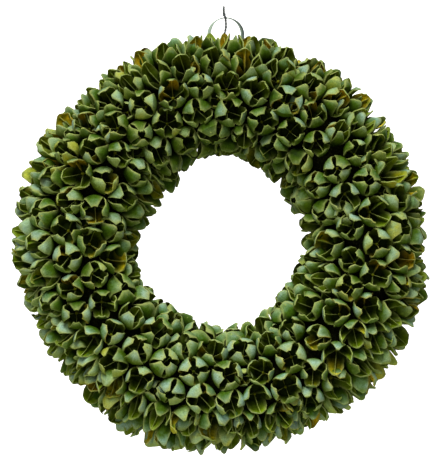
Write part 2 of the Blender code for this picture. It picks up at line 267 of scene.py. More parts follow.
def faceted_point(theta, phi, radius):
    """The point at theta and phi of the solids' flat-sided roll."""
    step = math.tau / RING_STEPS
    low = math.floor((theta - FIRST_CLUSTER) / step) * step + FIRST_CLUSTER
    k = max((i for i, corner in enumerate(BED_CORNERS[:-1]) if corner <= phi), default=0)
    corners = BED_CORNERS[k : k + 2]
    along = (theta - low) / step
    first, second = (
        ring_point(low, corner, radius).lerp(ring_point(low + step, corner, radius), along)
        for corner in corners
    )
    return first.lerp(second, (phi - corners[0]) / (corners[1] - corners[0]))


def spread_over_roll(rng):
    """Uneven but steady places for the pods, as theta and phi: jittered rows whose pods push apart."""
    area = math.tau * RING_RADIUS * GIRTH_LEVEL * (2 * LAST_POD_ROW + ROW_MARGIN)
    spacing = math.sqrt(area / (ROW_RISE * POD_COUNT))
    rows = 1 + round(2 * LAST_POD_ROW * GIRTH_LEVEL / (ROW_RISE * spacing))
    angles = [LAST_POD_ROW * (2 * k / (rows - 1) - 1) for k in range(rows)]
    lengths = [RING_RADIUS + GIRTH_LEVEL * math.sin(angle) for angle in angles]
    counts = [round(length / sum(lengths) * POD_COUNT) for length in lengths]
    counts[rows // 2] += POD_COUNT - sum(counts)
    theta, phi = [], []
    for row, (angle, count) in enumerate(zip(angles, counts)):
        for k in range(count):
            jitter = rng.uniform(-PLACE_JITTER, PLACE_JITTER)
            theta.append(math.tau * (k + 0.5 * (row % 2) + jitter) / count)
            phi.append(angle + rng.uniform(-ROW_JITTER, ROW_JITTER))
    theta, phi = np.array(theta), np.array(phi)
    others = 1 - np.eye(POD_COUNT)
    for _ in range(PUSH_STEPS):
        reach = RING_RADIUS + GIRTH_LEVEL * np.sin(phi)
        points = [reach * np.cos(theta), -GIRTH_LEVEL * np.cos(phi), reach * np.sin(theta)]
        points = np.transpose(points)
        away = points[:, None] - points[None]
        distance = np.linalg.norm(away, axis=2) + np.eye(POD_COUNT)
        push = np.clip(PUSH_REACH * spacing - distance, 0, None) * others / distance
        move = PUSH_SHARE * (away * push[..., None]).sum(axis=1)
        along = [-np.sin(theta), 0 * theta, np.cos(theta)]
        across = [np.cos(phi) * np.cos(theta), np.sin(phi), np.cos(phi) * np.sin(theta)]
        theta = theta + (move * np.transpose(along)).sum(axis=1) / reach
        phi = phi + (move * np.transpose(across)).sum(axis=1) / GIRTH_LEVEL
        phi = np.clip(phi, -LAST_POD_ROW, LAST_POD_ROW)
    return zip(theta.tolist(), phi.tolist())


def random_pod(rng, place, root, normal, theta, valve_counts, lengths):
    """A pod with its place at its girth, its leaning axis, its root on the bed, and its cluster."""
    return Pod(
        place=place,
        axis=(place - root).normalized(),
        root=root,
        normal=normal,
        twist=rng.uniform(0, math.tau),
        valves=rng.choice(valve_counts),
        length=rng.uniform(*lengths),
        cluster=math.floor((theta - FIRST_CLUSTER) / CLUSTER_TURN) % CLUSTERS,
    )


def lay_out_pods():
    """The pods of the solids, with their girths."""
    rng = random.Random(POD_SEED)
    pods = []
    for theta, phi in spread_over_roll(rng):
        shift, direction = ROOT_SHIFT * math.sqrt(rng.random()), rng.uniform(0, math.tau)
        root_phi = phi + shift * math.sin(direction) / BED_RADIUS
        reach = RING_RADIUS + BED_RADIUS * math.sin(root_phi)
        cluster = math.floor((theta - FIRST_CLUSTER) / CLUSTER_TURN)
        start = FIRST_CLUSTER + cluster * CLUSTER_TURN + ROOT_MARGIN / reach
        end = FIRST_CLUSTER + (cluster + 1) * CLUSTER_TURN - ROOT_MARGIN / reach
        root_theta = min(max(theta + shift * math.cos(direction) / reach, start), end)
        root_phi = min(max(root_phi, -LAST_ROOT_ROW), LAST_ROOT_ROW)
        place = ring_point(theta, phi, GIRTH_LEVEL)
        root = faceted_point(root_theta, root_phi, BED_RADIUS)
        normal = roll_normal(root_theta, root_phi)
        pods.append(random_pod(rng, place, root, normal, theta, VALVE_COUNTS, LENGTH_RANGE))
    return pods, fitted_girths(pods, rng)


def fitted_girths(pods, rng):
    """Each pod's girth, as a share of GIRTH_RADIUS, slimmed until no pod meets another or the hanger."""
    tip = ROLL_RADIUS - GIRTH_LEVEL
    heights = np.array([-FLOOR_DEPTH, -NOTCH_DEPTH, -NOTCH_DEPTH / 2, 0, tip / 2, tip])
    stem, notch, girth = (ROOT_RADIUS + NOTCH_RADIUS) / 2, NOTCH_RADIUS, GIRTH_RADIUS
    radii = np.array([stem, notch, (notch + girth) / 2, girth, (girth + TIP_RADIUS) / 2, TIP_RADIUS])
    places = np.array([pod.place for pod in pods])
    axes = np.array([pod.axis for pod in pods])
    rings = places[:, None] + axes[:, None] * heights[None, :, None]
    apart = np.linalg.norm(rings[:, None, :, None] - rings[None, :, None, :], axis=4)
    near_hanger = (np.abs(places[:, 0] - ARCH_X) < HANGER_HALF_WIDTH) & (places[:, 2] > 0)
    furthest_back = np.where(near_hanger, WIRE_Y - WIRE_DIAMETER / 2, BACK_PLANE) - POD_GAP
    behind = ((furthest_back[:, None] - rings[..., 1]) / radii).min(axis=1)
    girths = np.array([rng.uniform(*GIRTH_RANGE) for _ in pods])
    girths = np.minimum(girths, behind)
    for gentleness in SLIM_STEPS:
        wide = girths[:, None] * radii
        share = (apart - POD_GAP) / (wide[:, None, :, None] + wide[None, :, None, :])
        share = np.where(np.eye(len(pods)), np.inf, share.min(axis=(2, 3)))
        girths = girths * np.minimum(share.min(axis=1), 1) ** gentleness
    return girths.tolist()


def tuck_low_pods(pods):
    """Small pods low in the gaps that the others leave, with their girths."""
    rng = random.Random(LOW_POD_SEED)
    places = np.array([pod.place for pod in pods])
    roots = np.array([pod.root for pod in pods])
    spread = [
        (rng.uniform(0, math.tau), rng.uniform(-LAST_POD_ROW, LAST_POD_ROW))
        for _ in range(LOW_POD_TRIES)
    ]
    levels = [LOW_POD_LEVEL + LOW_POD_RISE * math.sin(phi) ** 2 for _, phi in spread]
    points = np.array([ring_point(*place, level) for place, level in zip(spread, levels)])
    trunk = places - roots
    share = ((points[:, None] - roots) * trunk).sum(axis=2) / (trunk**2).sum(axis=1)
    nearest = roots + np.clip(share, 0, 1)[..., None] * trunk
    room = np.linalg.norm(points[:, None] - nearest, axis=2).min(axis=1)
    low, taken = [], []
    for k in np.argsort(-room):
        if room[k] < LOW_POD_ROOM - LOW_POD_EASE * math.sin(spread[k][1]):
            continue
        if any(np.linalg.norm(points[k] - other) < LOW_POD_SPACING for other in taken):
            continue
        taken.append(points[k])
        theta, phi = spread[k]
        root_theta = theta + rng.uniform(-LOW_ROOT_THETA, LOW_ROOT_THETA)
        root = ring_point(root_theta, phi + rng.uniform(-LOW_ROOT_PHI, LOW_ROOT_PHI), BED_RADIUS)
        place, normal = Vector(points[k]), roll_normal(theta, phi)
        low.append(random_pod(rng, place, root, normal, theta, LOW_POD_VALVES, LOW_POD_LENGTHS))
    return low, [LOW_POD_GIRTH * rng.uniform(*LOW_POD_SIZES) for _ in low]


def bezier_mix(share, start, near_start, near_end, end):
    """The cubic curve's value at share, from its two ends and the two handles between them."""
    rest = 1 - share
    first = start * rest**3 + near_start * 3 * rest * rest * share
    return first + near_end * 3 * rest * share * share + end * share**3


def profile_of(pod, girth, closed):
    """The pod's outer profile from its sunk root to its tip: distance out, and height over its girth."""
    size = girth * MM
    foot = -((pod.place - pod.root).length + ROOT_SINK)
    root = Vector((ROOT_RADIUS * 0.9, foot))
    stem = Vector((ROOT_RADIUS + STEM_SWELL * size, foot + STEM_RISE * MM))
    belly, tip = (
        Vector([length + growth * closed for length, growth in pairs]) * size
        for pairs in ((BELLY_OUT, BELLY_HEIGHT), (TIP_OUT, TIP_HEIGHT))
    )
    return lambda share: bezier_mix(share, root, stem, belly, tip)


def free_share(along):
    """How far a place on the valve is past the notches: 0 there and below, 1 at the tip."""
    return max(0.0, (along - NOTCH_SHARE) / (1 - NOTCH_SHARE))


def valve_point(valve, profile, across, along, inset):
    """A point of a valve's skin. across runs from -1 to 1 between its margins, along up to its tip."""
    out, height = profile(along)
    free = free_share(along)
    notch_out, notch_height = profile(NOTCH_SHARE)
    base = valve.half_slice * (notch_out if free else out)
    half = bezier_mix(
        free, base, base * VALVE_BULGE * valve.width, base * valve.taper, base * valve.blunt
    )
    bend = out * (1 + valve.flat * free)
    angle = across * half / bend * (1 - INNER_NARROWING * inset / max(half, inset))
    over = max(0.0, height - notch_height)
    edge = across * across
    out += valve.lean * over - inset - bend * (1 - math.cos(angle)) - valve.curl * free * edge
    height += (valve.height - 1) * over - valve.round * base * valve.blunt * free**2 * edge
    return Vector((out, math.sin(angle) * bend + valve.skew * over * free, height))


def add_sheet(bm, layers, x_segments, y_segments, shape, inset):
    """A thick sheet, a grid laid along shape(across, along, inset): its outer, inner and rim faces."""
    verts = bmesh.ops.create_grid(bm, x_segments=x_segments, y_segments=y_segments, size=1.0)["verts"]
    outer = {f for v in verts for f in v.link_faces}
    for vert in verts:
        across, along = vert.co.x, (vert.co.y + 1) / 2
        vert[layers.places] = (across, along, 0)
        vert.co = shape(across, along, 0.0)
    grown = bmesh.ops.extrude_face_region(bm, geom=list(outer), use_keep_orig=True)["geom"]
    inner = {f for f in grown if isinstance(f, bmesh.types.BMFace)}
    for vert in grown:
        if isinstance(vert, bmesh.types.BMVert):
            vert.co = shape(*vert[layers.places].xy, inset)
    rim = [f for f in bm.faces if not (f.tag or f in outer or f in inner)]
    for face in (*outer, *inner, *rim):
        face.tag = True
    return outer, inner, rim


Layers = namedtuple("Layers", "places zone tone uv")


def pod_layers(bm):
    return Layers(
        places=bm.verts.layers.float_vector.new("place_on_valve"),
        zone=bm.loops.layers.float_color.new("pod_zone"),
        tone=bm.loops.layers.float_color.new("pod_tone"),
        uv=bm.loops.layers.uv.new("valve"),
    )


def wall_zone(across, along, inside, edge):
    """Height along the valve, nearness to its margin, and whether it is inside."""
    free = free_share(along)
    return along, max(edge, across * across * min(1.0, 4 * free), free**6), inside


def rib_zone(across, along, crest):
    """The same for a rib, which is lit along its crest."""
    return 0.3 + 0.6 * along, max(crest, -0.8 * across) * (0.85 + 0.15 * along), 1.0


def paint(faces, layers, tone, zone, *marks):
    """Marks faces for the material with their zone, their random tones and their place on the valve."""
    for face in faces:
        for loop in face.loops:
            across, along = loop.vert[layers.places].xy
            loop[layers.zone] = (*zone(across, along, *marks), 1.0)
            loop[layers.tone] = tone
            loop[layers.uv].uv = (0.5 + across / 2, along)


def add_valve(bm, layers, valve, profile, sizes, tone, rib_fall):
    """One valve: its curved wall, and the rib that stands inside along its middle."""

    def skin(across, along, inset):
        return valve_point(valve, profile, across, along, inset)

    def rib(across, along, inset):
        share = SEPTUM_FOOT + (SEPTUM_TOP - SEPTUM_FOOT) * along
        wall = valve_point(valve, profile, 0.0, share, sizes.valve_wall * 0.6)
        depth = wall.x * (1 - along) ** rib_fall + RIB_REACH
        inward = (1 - across) / 2
        out = max(wall.x - depth * inward, RIB_CLEARANCE)
        offset = (inset - sizes.septum_wall / 2) * (1 - 0.5 * inward)
        drop = inward * along * RIB_DROP
        return Vector((out, wall.y * (1 - inward) + offset, wall.z - drop))

    sides = add_sheet(bm, layers, VALVE_ACROSS, VALVE_ALONG, skin, sizes.valve_wall)
    for faces, marks in zip(sides, ((0.0, 0.0), (1.0, 0.0), (0.5, 1.0))):
        paint(faces, layers, tone, wall_zone, *marks)
    sides = add_sheet(bm, layers, 1, SEPTUM_ALONG, rib, sizes.septum_wall)
    for faces, crest in zip(sides, (0.0, 0.0, 1.0)):
        paint(faces, layers, tone, rib_zone, crest)


def add_cup_middle(bm, layers, profile, sizes, tone):
    """The cup's floor and the small knob that stands on it."""
    out, height = profile(SEPTUM_FOOT)
    floor = bmesh.ops.create_circle(bm, cap_ends=True, segments=8, radius=out * 0.96)
    bmesh.ops.translate(bm, vec=(0, 0, height), verts=floor["verts"])
    knob = bmesh.ops.create_uvsphere(bm, u_segments=7, v_segments=5, radius=sizes.knob_radius)
    bmesh.ops.scale(bm, vec=(1, 1, 1.5), verts=knob["verts"])
    bmesh.ops.translate(bm, vec=(0, 0, height + 1.2 * MM), verts=knob["verts"])
    # The floor sits low in the inner ramp, in painted shade; lit lifts the knob into painted light.
    for verts, lit in ((floor["verts"], 0.0), (knob["verts"], 0.35)):
        for face in {f for v in verts for f in v.link_faces}:
            face.tag = True
            for loop in face.loops:
                loop[layers.zone] = (0.25 + lit, lit, 1.0, 1.0)
                loop[layers.tone] = tone


def swell(waves, theta):
    return sum(size * MM * math.cos(count * theta - math.radians(peak)) for count, size, peak in waves)


def keep_to_roll(bm):
    """Draws in what would stand far out of the roll, and lets its two edges waver as they go round."""
    for vert in bm.verts:
        place = vert.co - CENTRE
        theta, phi = roll_place(place)
        core = ring_point(theta, phi, 0)
        out = place - core
        reach = out.length
        if reach > ROLL_RADIUS:
            reach = ROLL_RADIUS + (reach - ROLL_RADIUS) * OUTSIDE_KEPT
        tip_share = max(0.0, reach - BED_RADIUS) / (ROLL_RADIUS - BED_RADIUS)
        sideways = math.sin(phi)
        rise = swell(RIM_WAVES, theta) + RIM_RISE if sideways > 0 else swell(HOLE_WAVES, theta)
        reach += rise * sideways**2 * tip_share
        vert.co = CENTRE + core + out.normalized() * reach


def random_valve(rng, pod, k, sideways, to_hole):
    """The pod's valve number k, a little unlike the others."""
    slice_angle = math.tau / pod.valves
    blunt = rng.choice(BLUNT_TIPS) + BLUNTER_AWAY * (sideways + to_hole)
    return Valve(
        middle=pod.twist + (k + 0.5) * slice_angle,
        half_slice=slice_angle / 2 * SLICE_KEPT,
        height=pod.length * rng.uniform(*HEIGHTS),
        width=rng.uniform(*WIDTHS),
        taper=rng.uniform(*TAPERS) + FULLER_BY_TIP * blunt + FULLER_AWAY * sideways,
        blunt=blunt,
        lean=rng.gauss(0.0, LEAN),
        skew=rng.gauss(0.0, SKEW),
        curl=rng.uniform(*CURLS) * MM,
        round=rng.uniform(*ROUNDINGS) + ROUNDER_AWAY * sideways,
        flat=rng.uniform(*FLATTENINGS),
    )


def pod_mesh(pod, girth, index, sizes):
    """One whole pod in place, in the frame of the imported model."""
    rng = random.Random(POD_SEED * 1000 + index)
    bm = bmesh.new()
    layers = pod_layers(bm)
    sideways = 1 + pod.normal.y
    to_hole = max(0.0, -pod.normal.dot(Vector((pod.place.x, 0, pod.place.z)).normalized()))
    closed = rng.triangular(*CLOSING) - CLOSER_IN_FRONT * pod.normal.y + CLOSER_TO_HOLE * to_hole**2
    fullness = FULLNESS + FULLER_SIDEWAYS * sideways
    profile = profile_of(pod, girth * fullness * rng.uniform(*POD_SIZES), closed)
    pod_tone = rng.random()
    bare = rng.choice(BARE_SHARES)
    rib_fall = rng.uniform(*RIB_FALLS)
    for k in range(pod.valves):
        valve = random_valve(rng, pod, k, sideways, to_hole)
        # Toward the hole the valve's tone is lowered: painted shade, darker olive with a teal tint.
        valve_tone = rng.random() * (1 - PAINTED_SHADE_TO_HOLE * to_hole)
        valve_bare = max(0.0, min(1.0, bare + rng.uniform(*BARER)))
        tone = (pod_tone, valve_tone, (1 - COATED_TO_HOLE * to_hole) * valve_bare, 1.0)
        before = len(bm.verts)
        add_valve(bm, layers, valve, profile, sizes, tone, rib_fall)
        bm.verts.ensure_lookup_table()
        turn = Matrix.Rotation(valve.middle, 4, "Z")
        bmesh.ops.transform(bm, matrix=turn, verts=bm.verts[before:])
    add_cup_middle(bm, layers, profile, sizes, (pod_tone, rng.random(), 0.2, 1.0))
    side = pod.axis.orthogonal().normalized()
    rise = pod.axis.cross(side)
    stand = Matrix((side, rise, pod.axis)).transposed().to_4x4()
    angle = rng.gauss(0, POD_TILT)
    tilt = Matrix.Rotation(angle, 4, Vector((rng.gauss(0, 1), rng.gauss(0, 1), 0)))
    proud = pod.axis * rng.gauss(0, POD_PROUD) * MM
    whole = Matrix.Translation(CENTRE + pod.place + proud) @ stand @ tilt
    bmesh.ops.transform(bm, matrix=whole, verts=bm.verts)
    keep_to_roll(bm)
    bmesh.ops.recalc_face_normals(bm, faces=bm.faces)
    mesh = bpy.data.meshes.new("pod")
    bm.to_mesh(mesh)
    bm.free()
    return mesh


def place_piece(name, mesh, material, replaced):
    """Puts a finished mesh in the scene as a piece that rides with the wreath."""
    mesh.name = name
    piece = bpy.data.objects.new(name, mesh)
    bpy.context.scene.collection.objects.link(piece)
    mesh.materials.append(bpy.data.materials[material])
    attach(piece, BODY)
    if replaced:
        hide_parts(*replaced)


def mesh_of(bm, name, sharp_degrees):
    mesh = bpy.data.meshes.new(name)
    bm.to_mesh(mesh)
    bm.free()
    mesh.shade_smooth()
    mesh.set_sharp_from_angle(angle=math.radians(sharp_degrees))
    return mesh


def mesh_of_curve(name, routes, radius, resolution, tone=None):
    """A mesh of round rods along routes, which are lists of points. Each has its own tone if asked."""
    curve = bpy.data.curves.new(name, "CURVE")
    curve.dimensions = "3D"
    curve.bevel_depth = radius
    curve.bevel_resolution = resolution
    curve.use_fill_caps = True
    for route in routes:
        spline = curve.splines.new("POLY")
        spline.points.add(len(route) - 1)
        for knot, point in zip(spline.points, route):
            knot.co = (*point, 1)
    maker = bpy.data.objects.new(name, curve)
    bpy.context.scene.collection.objects.link(maker)
    bpy.context.view_layer.update()
    mesh = bpy.data.meshes.new_from_object(maker.evaluated_get(bpy.context.evaluated_depsgraph_get()))
    bpy.data.objects.remove(maker)
    bpy.data.curves.remove(curve)
    bm = bmesh.new()
    bm.from_mesh(mesh)
    bpy.data.meshes.remove(mesh)
    bmesh.ops.remove_doubles(bm, verts=bm.verts, dist=0.01 * MM)
    bmesh.ops.recalc_face_normals(bm, faces=bm.faces)
    if tone:
        tone_each_island(bm, bm.verts.layers.float.new(tone))
    return mesh_of(bm, name, 50)


def tone_each_island(bm, layer):
    """Gives all the points of each joined lump of faces one random value."""
    rng = random.Random(len(bm.verts))
    toned = set()
    for first in bm.verts:
        if first in toned:
            continue
        value = rng.random()
        edge = [first]
        while edge:
            vert = edge.pop()
            if vert not in toned:
                toned.add(vert)
                vert[layer] = value
                edge += [e.other_vert(vert) for e in vert.link_edges]


def smooth_route(points, per_span):
    """A smooth curve through the points, with per_span steps from each to the next."""
    route = []
    ends = [points[0] * 2 - points[1], *points, points[-1] * 2 - points[-2]]
    for before, start, end, after in zip(ends, ends[1:], ends[2:], ends[3:]):
        out = start + (end - before) / 6
        back = end - (after - start) / 6
        route += geometry.interpolate_bezier(start, out, back, end, per_span + 1)[:-1]
    return [*route, points[-1]]


def new_material(name, **values):
    """A material whose shader has the given values. An input's name has _ for each space."""
    material = bpy.data.materials.new(name)
    material.use_nodes = True
    inputs = material.node_tree.nodes["Principled BSDF"].inputs
    for key, value in values.items():
        inputs[key.replace("_", " ")].default_value = value
    return material


class Nodes:
    """Short ways to add nodes to a tree. A value is a socket to join, or plain."""

    def __init__(self, tree):
        self.tree = tree

    def feed(self, socket, value):
        if isinstance(value, bpy.types.NodeSocket):
            self.tree.links.new(value, socket)
        else:
            socket.default_value = (*value, 1.0) if socket.type == "RGBA" else value

    def add(self, kind, **values):
        """A node with its settings and its inputs. An input's name has _ for each space."""
        node = self.tree.nodes.new("ShaderNode" + kind)
        for key, value in values.items():
            if hasattr(node, key):
                setattr(node, key, value)
            else:
                self.feed(node.inputs[key.replace("_", " ")], value)
        return node

    def feed_all(self, node, *values):
        """Feeds a node's first inputs in turn, and gives its first output."""
        for socket, value in zip(node.inputs, values):
            self.feed(socket, value)
        return node.outputs[0]

    def maths(self, operation, *values, clamp=False):
        return self.feed_all(self.add("Math", operation=operation, use_clamp=clamp), *values)

    def line(self, value, slope, start, clamp=False):
        """The value times a slope, plus a start."""
        return self.maths("MULTIPLY_ADD", value, slope, start, clamp=clamp)

    def split(self, kind, value):
        node = self.add("Separate" + kind)
        self.feed_all(node, value)
        return node.outputs

    def attribute(self, name):
        return self.add("Attribute", attribute_name=name).outputs

    def ramp(self, value, *stops):
        """A colour ramp over the value. Each stop is a place and a colour."""
        node = self.add("ValToRGB", Fac=value)
        elements = node.color_ramp.elements
        while len(elements) < len(stops):
            elements.new(0.5)
        for element, (place, colour) in zip(elements, stops):
            element.position = place
            element.color = (*colour, 1.0)
        return node.outputs["Color"]

    def mix(self, factor, first, second, blend="MIX"):
        node = self.add("Mix", data_type="RGBA", blend_type=blend)
        for index, value in ((0, factor), (6, first), (7, second)):
            self.feed(node.inputs[index], value)
        return node.outputs[2]

    def tint(self, first, second, share=1.0):
        """The first colour times the second, or a share of the way there."""
        return self.mix(share, first, second, "MULTIPLY")

    def group(self, name, vector, **values):
        tree = bpy.data.node_groups[name]
        return self.add("Group", node_tree=tree, Vector=vector, **values).outputs

    def coat(self, patch_scale, speck_scale):
        places = self.add("TexCoord").outputs["Object"]
        return self.group("thin_coat", places, Patch_Scale=patch_scale, Speck_Scale=speck_scale)

    def streaks(self, fineness, stretch):
        places = self.add("TexCoord").outputs["UV"]
        return self.group("plant_streaks", places, Fineness=fineness, Stretch=stretch)["Streak"]

    def finish(self, colour, roughness, height, strength, depth):
        """Joins a colour, a roughness and a relief to the material's shader."""
        inputs = self.tree.nodes["Principled BSDF"].inputs
        bump = self.add("Bump", Strength=strength, Distance=depth * MM, Height=height)
        self.feed(inputs["Base Color"], colour)
        self.feed(inputs["Roughness"], roughness)
        self.feed(inputs["Normal"], bump.outputs["Normal"])


def nodes_of_new(name, **values):
    return Nodes(new_material(name, Specular_IOR_Level=0.03, **values).node_tree)


def shaded(base, tint):
    return tuple(b * t for b, t in zip(base, tint))


def new_group(name, inputs, outputs):
    """A group's nodes, its input and its output, for a vector and some values, which have defaults."""
    group = bpy.data.node_groups.new(name, "ShaderNodeTree")
    group.interface.new_socket("Vector", in_out="INPUT", socket_type="NodeSocketVector")
    for label, value in inputs.items():
        socket = group.interface.new_socket(label, in_out="INPUT", socket_type="NodeSocketFloat")
        socket.default_value = value
    for label in outputs:
        group.interface.new_socket(label, in_out="OUTPUT", socket_type="NodeSocketFloat")
    start, end = (group.nodes.new(kind) for kind in ("NodeGroupInput", "NodeGroupOutput"))
    return Nodes(group), start.outputs, end.inputs


def make_streaks_group():
    """Fine fibres that run along the second coordinate."""
    nodes, start, end = new_group("plant_streaks", {"Fineness": 60.0, "Stretch": 0.06}, ["Streak"])
    scale = nodes.add("CombineXYZ", X=1.0, Y=start["Stretch"], Z=1.0).outputs[0]
    product = nodes.add("VectorMath", operation="MULTIPLY")
    stretched = nodes.feed_all(product, start["Vector"], scale)
    fibres = nodes.add("TexNoise", Vector=stretched, Detail=4.0, Roughness=0.65)
    nodes.feed(fibres.inputs["Scale"], start["Fineness"])
    nodes.feed(end["Streak"], fibres.outputs["Fac"])


def make_patches_group():
    """Soft uneven patches and fine speckle, as where thin paint and dust lie."""
    sizes = {"Patch Scale": 90.0, "Speck Scale": 900.0}
    nodes, start, end = new_group("thin_coat", sizes, ["Patch", "Speck"])
    for output, detail, roughness in (("Patch", 3.0, 0.55), ("Speck", 2.0, 0.6)):
        cloud = nodes.add("TexNoise", Vector=start["Vector"], Detail=detail, Roughness=roughness)
        nodes.feed(cloud.inputs["Scale"], start[output + " Scale"])
        nodes.feed(end[output], cloud.outputs["Fac"])


def make_pod_material(colours):
    """Dry valves under a thin dusty coat: pale tips, olive bases, insides dark with painted shade, and
    thick pale rims. Painted light and shade also follow height in the pod, facing, and height on the
    wreath.
    """
    nodes = nodes_of_new("pod_coat")
    height, edge, inside = nodes.split("Color", nodes.attribute("pod_zone")["Color"])
    of_pod, of_valve, bare = nodes.split("Color", nodes.attribute("pod_tone")["Color"])
    patch, speck = nodes.coat(120.0, 1100.0)
    streak = nodes.streaks(26.0, 0.12)
    wander = nodes.line(patch, 0.5, -0.25)
    z = nodes.split("XYZ", nodes.add("TexCoord").outputs["Object"])["Z"]
    # How low a place sits on the wreath, which drives painted light below.
    lower = nodes.line(z, -5.0, CENTRE.z * 5.0)

    # The outer ramp's place follows each valve's random tone, and shifts toward the pale tip lower on the
    # wreath as painted light.
    shift = nodes.line(lower, 0.08, nodes.line(of_valve, 0.44, -0.22))
    tip, base = colours.tip, colours.base
    # Outer skin by height on the valve: pale tip paint down to the olive base paint, then much darker
    # near the foot as painted shade between the pods.
    outer = nodes.ramp(
        nodes.maths("ADD", nodes.maths("ADD", height, wander), shift),
        (0.42, shaded(base, (0.2, 0.22, 0.14))),
        (0.68, base),
        (0.84, shaded(tip, (0.50, 0.54, 0.28))),
        (0.99, tip),
    )
    of_both = nodes.line(of_pod, 0.4, nodes.maths("MULTIPLY", of_valve, 0.6))
    hue = nodes.ramp(
        nodes.maths("ADD", of_both, wander),
        (0.15, (0.82, 1.0, 1.12)),
        (0.6, (1.0, 1.0, 1.0)),
        (0.76, (1.06, 1.0, 0.6)),
        (0.92, (1.4, 1.0, 0.15)),
    )
    outer = nodes.tint(outer, hue)
    outer = nodes.tint(outer, (1.1, 1.0, 0.75), nodes.maths("MULTIPLY", edge, 0.6))

    # Inside by height in the cup: painted shade, near black at the floor and brighter toward the rim.
    inner = nodes.ramp(
        nodes.maths("ADD", height, wander),
        (0.35, shaded(colours.inside, (0.24, 0.26, 0.3))),
        (0.6, shaded(colours.inside, (1.3, 1.3, 1.15))),
        (0.82, shaded(colours.inside, (3.1, 2.9, 2.0))),
        (1.0, shaded(colours.inside, (5.0, 4.5, 10.0))),
    )
    bare_here = nodes.maths("MULTIPLY", bare, nodes.line(patch, 5.0, -1.6))
    near_tip = nodes.line(height, 2.4, -0.8, clamp=True)
    # Bare wood runs from rust to yellow with each valve's random tone, and with height in the cup as
    # painted light and shade: yellow near the rim, rust deep down.
    gold_by_tone_and_painted_light = nodes.line(of_valve, 0.7, nodes.line(height, 1.2, -0.6), clamp=True)
    bare_colour = nodes.mix(gold_by_tone_and_painted_light, colours.rust, colours.yellow)
    inner = nodes.mix(nodes.maths("MULTIPLY", bare_here, near_tip, clamp=True), inner, bare_colour)

    # Painted light and shade by facing: faces that look down are tinted warmer and less blue, as in
    # shade, and faces that look up a little bluer, as in light.
    facing = nodes.split("XYZ", nodes.add("NewGeometry").outputs["Normal"])["Z"]
    upward = nodes.line(facing, 0.5, 0.5)
    painted_light_by_facing = nodes.ramp(
        nodes.maths("ADD", upward, nodes.maths("MULTIPLY", wander, 0.5)),
        (0.2, (0.94, 0.86, 0.32)),
        (0.42, (1.0, 1.0, 1.0)),
        (0.8, (0.97, 1.0, 1.1)),
    )
    surface = nodes.tint(nodes.mix(inside, outer, inner), painted_light_by_facing)
    # Pale rim colour where the edges are worn in patches, and more where they face up, as a painted
    # highlight.
    worn_and_lit_rims = nodes.line(patch, 1.6, -0.1, clamp=True)
    worn_and_lit_rims = nodes.maths("MULTIPLY", nodes.maths("POWER", edge, 3.0), worn_and_lit_rims, clamp=True)
    worn_and_lit_rims = nodes.maths("MULTIPLY", worn_and_lit_rims, nodes.line(upward, 1.6, 0.1, clamp=True))
    surface = nodes.mix(worn_and_lit_rims, surface, colours.rim)
    specks = nodes.ramp(speck, (0.36, (0.62, 0.62, 0.6)), (0.6, (1.08, 1.08, 1.06)))
    surface = nodes.tint(surface, specks, 0.75)
    fibres = nodes.ramp(streak, (0.35, (0.72, 0.72, 0.68)), (0.62, (1.1, 1.1, 1.1)))
    surface = nodes.tint(surface, fibres, 0.8)
    # Painted light: the pods are brighter the lower they sit on the wreath, as if more light fell on the
    # bottom.
    painted_light_below = nodes.line(lower, 0.12, 1.0)
    painted_light_below = nodes.add("CombineColor", Red=painted_light_below, Green=painted_light_below, Blue=painted_light_below).outputs[0]
    surface = nodes.tint(surface, painted_light_below)
    nodes.finish(surface, nodes.line(patch, 0.25, 0.5), nodes.line(streak, 0.7, speck), 0.5, 0.35)


def make_bed_material():
    """Glue and fibre deep between the pods, coloured near black as painted shade."""
    nodes = nodes_of_new("fibre_bed")
    _, speck = nodes.coat(160.0, 700.0)
    # Near black: painted shade between the pods.
    colour = nodes.ramp(
        speck,
        (0.35, (0.003, 0.004, 0.0008)),
        (0.55, (0.008, 0.009, 0.002)),
        (0.75, (0.03, 0.032, 0.008)),
    )
    nodes.finish(colour, 0.9, speck, 0.8, 0.8)


def make_straw_material(colours):
    """Dry straw: each straw in its own shade, with fine lengthwise fibres."""
    nodes = nodes_of_new("dry_straw")
    streak = nodes.streaks(55.0, 0.1)
    patch, _ = nodes.coat(60.0, 600.0)
    straw = colours.straw
    colour = nodes.ramp(
        nodes.line(streak, 0.5, nodes.attribute("straw_tone")["Fac"]),
        (0.2, shaded(straw, (0.32, 0.28, 0.22))),
        (0.55, shaded(straw, (0.75, 0.72, 0.66))),
        (0.85, straw),
        (1.2, shaded(straw, (1.45, 1.5, 1.6))),
    )
    dirt = nodes.ramp(patch, (0.35, (0.6, 0.6, 0.55)), (0.6, (1.0, 1.0, 1.0)))
    nodes.finish(nodes.tint(colour, dirt), 0.6, streak, 0.5, 0.4)


def make_thread_material():
    """Thin green twine."""
    nodes = nodes_of_new("binding_thread")
    _, speck = nodes.coat(200.0, 1500.0)
    colour = nodes.ramp(speck, (0.35, (0.05, 0.07, 0.035)), (0.65, (0.13, 0.17, 0.09)))
    nodes.finish(colour, 0.45, speck, 0.4, 0.2)


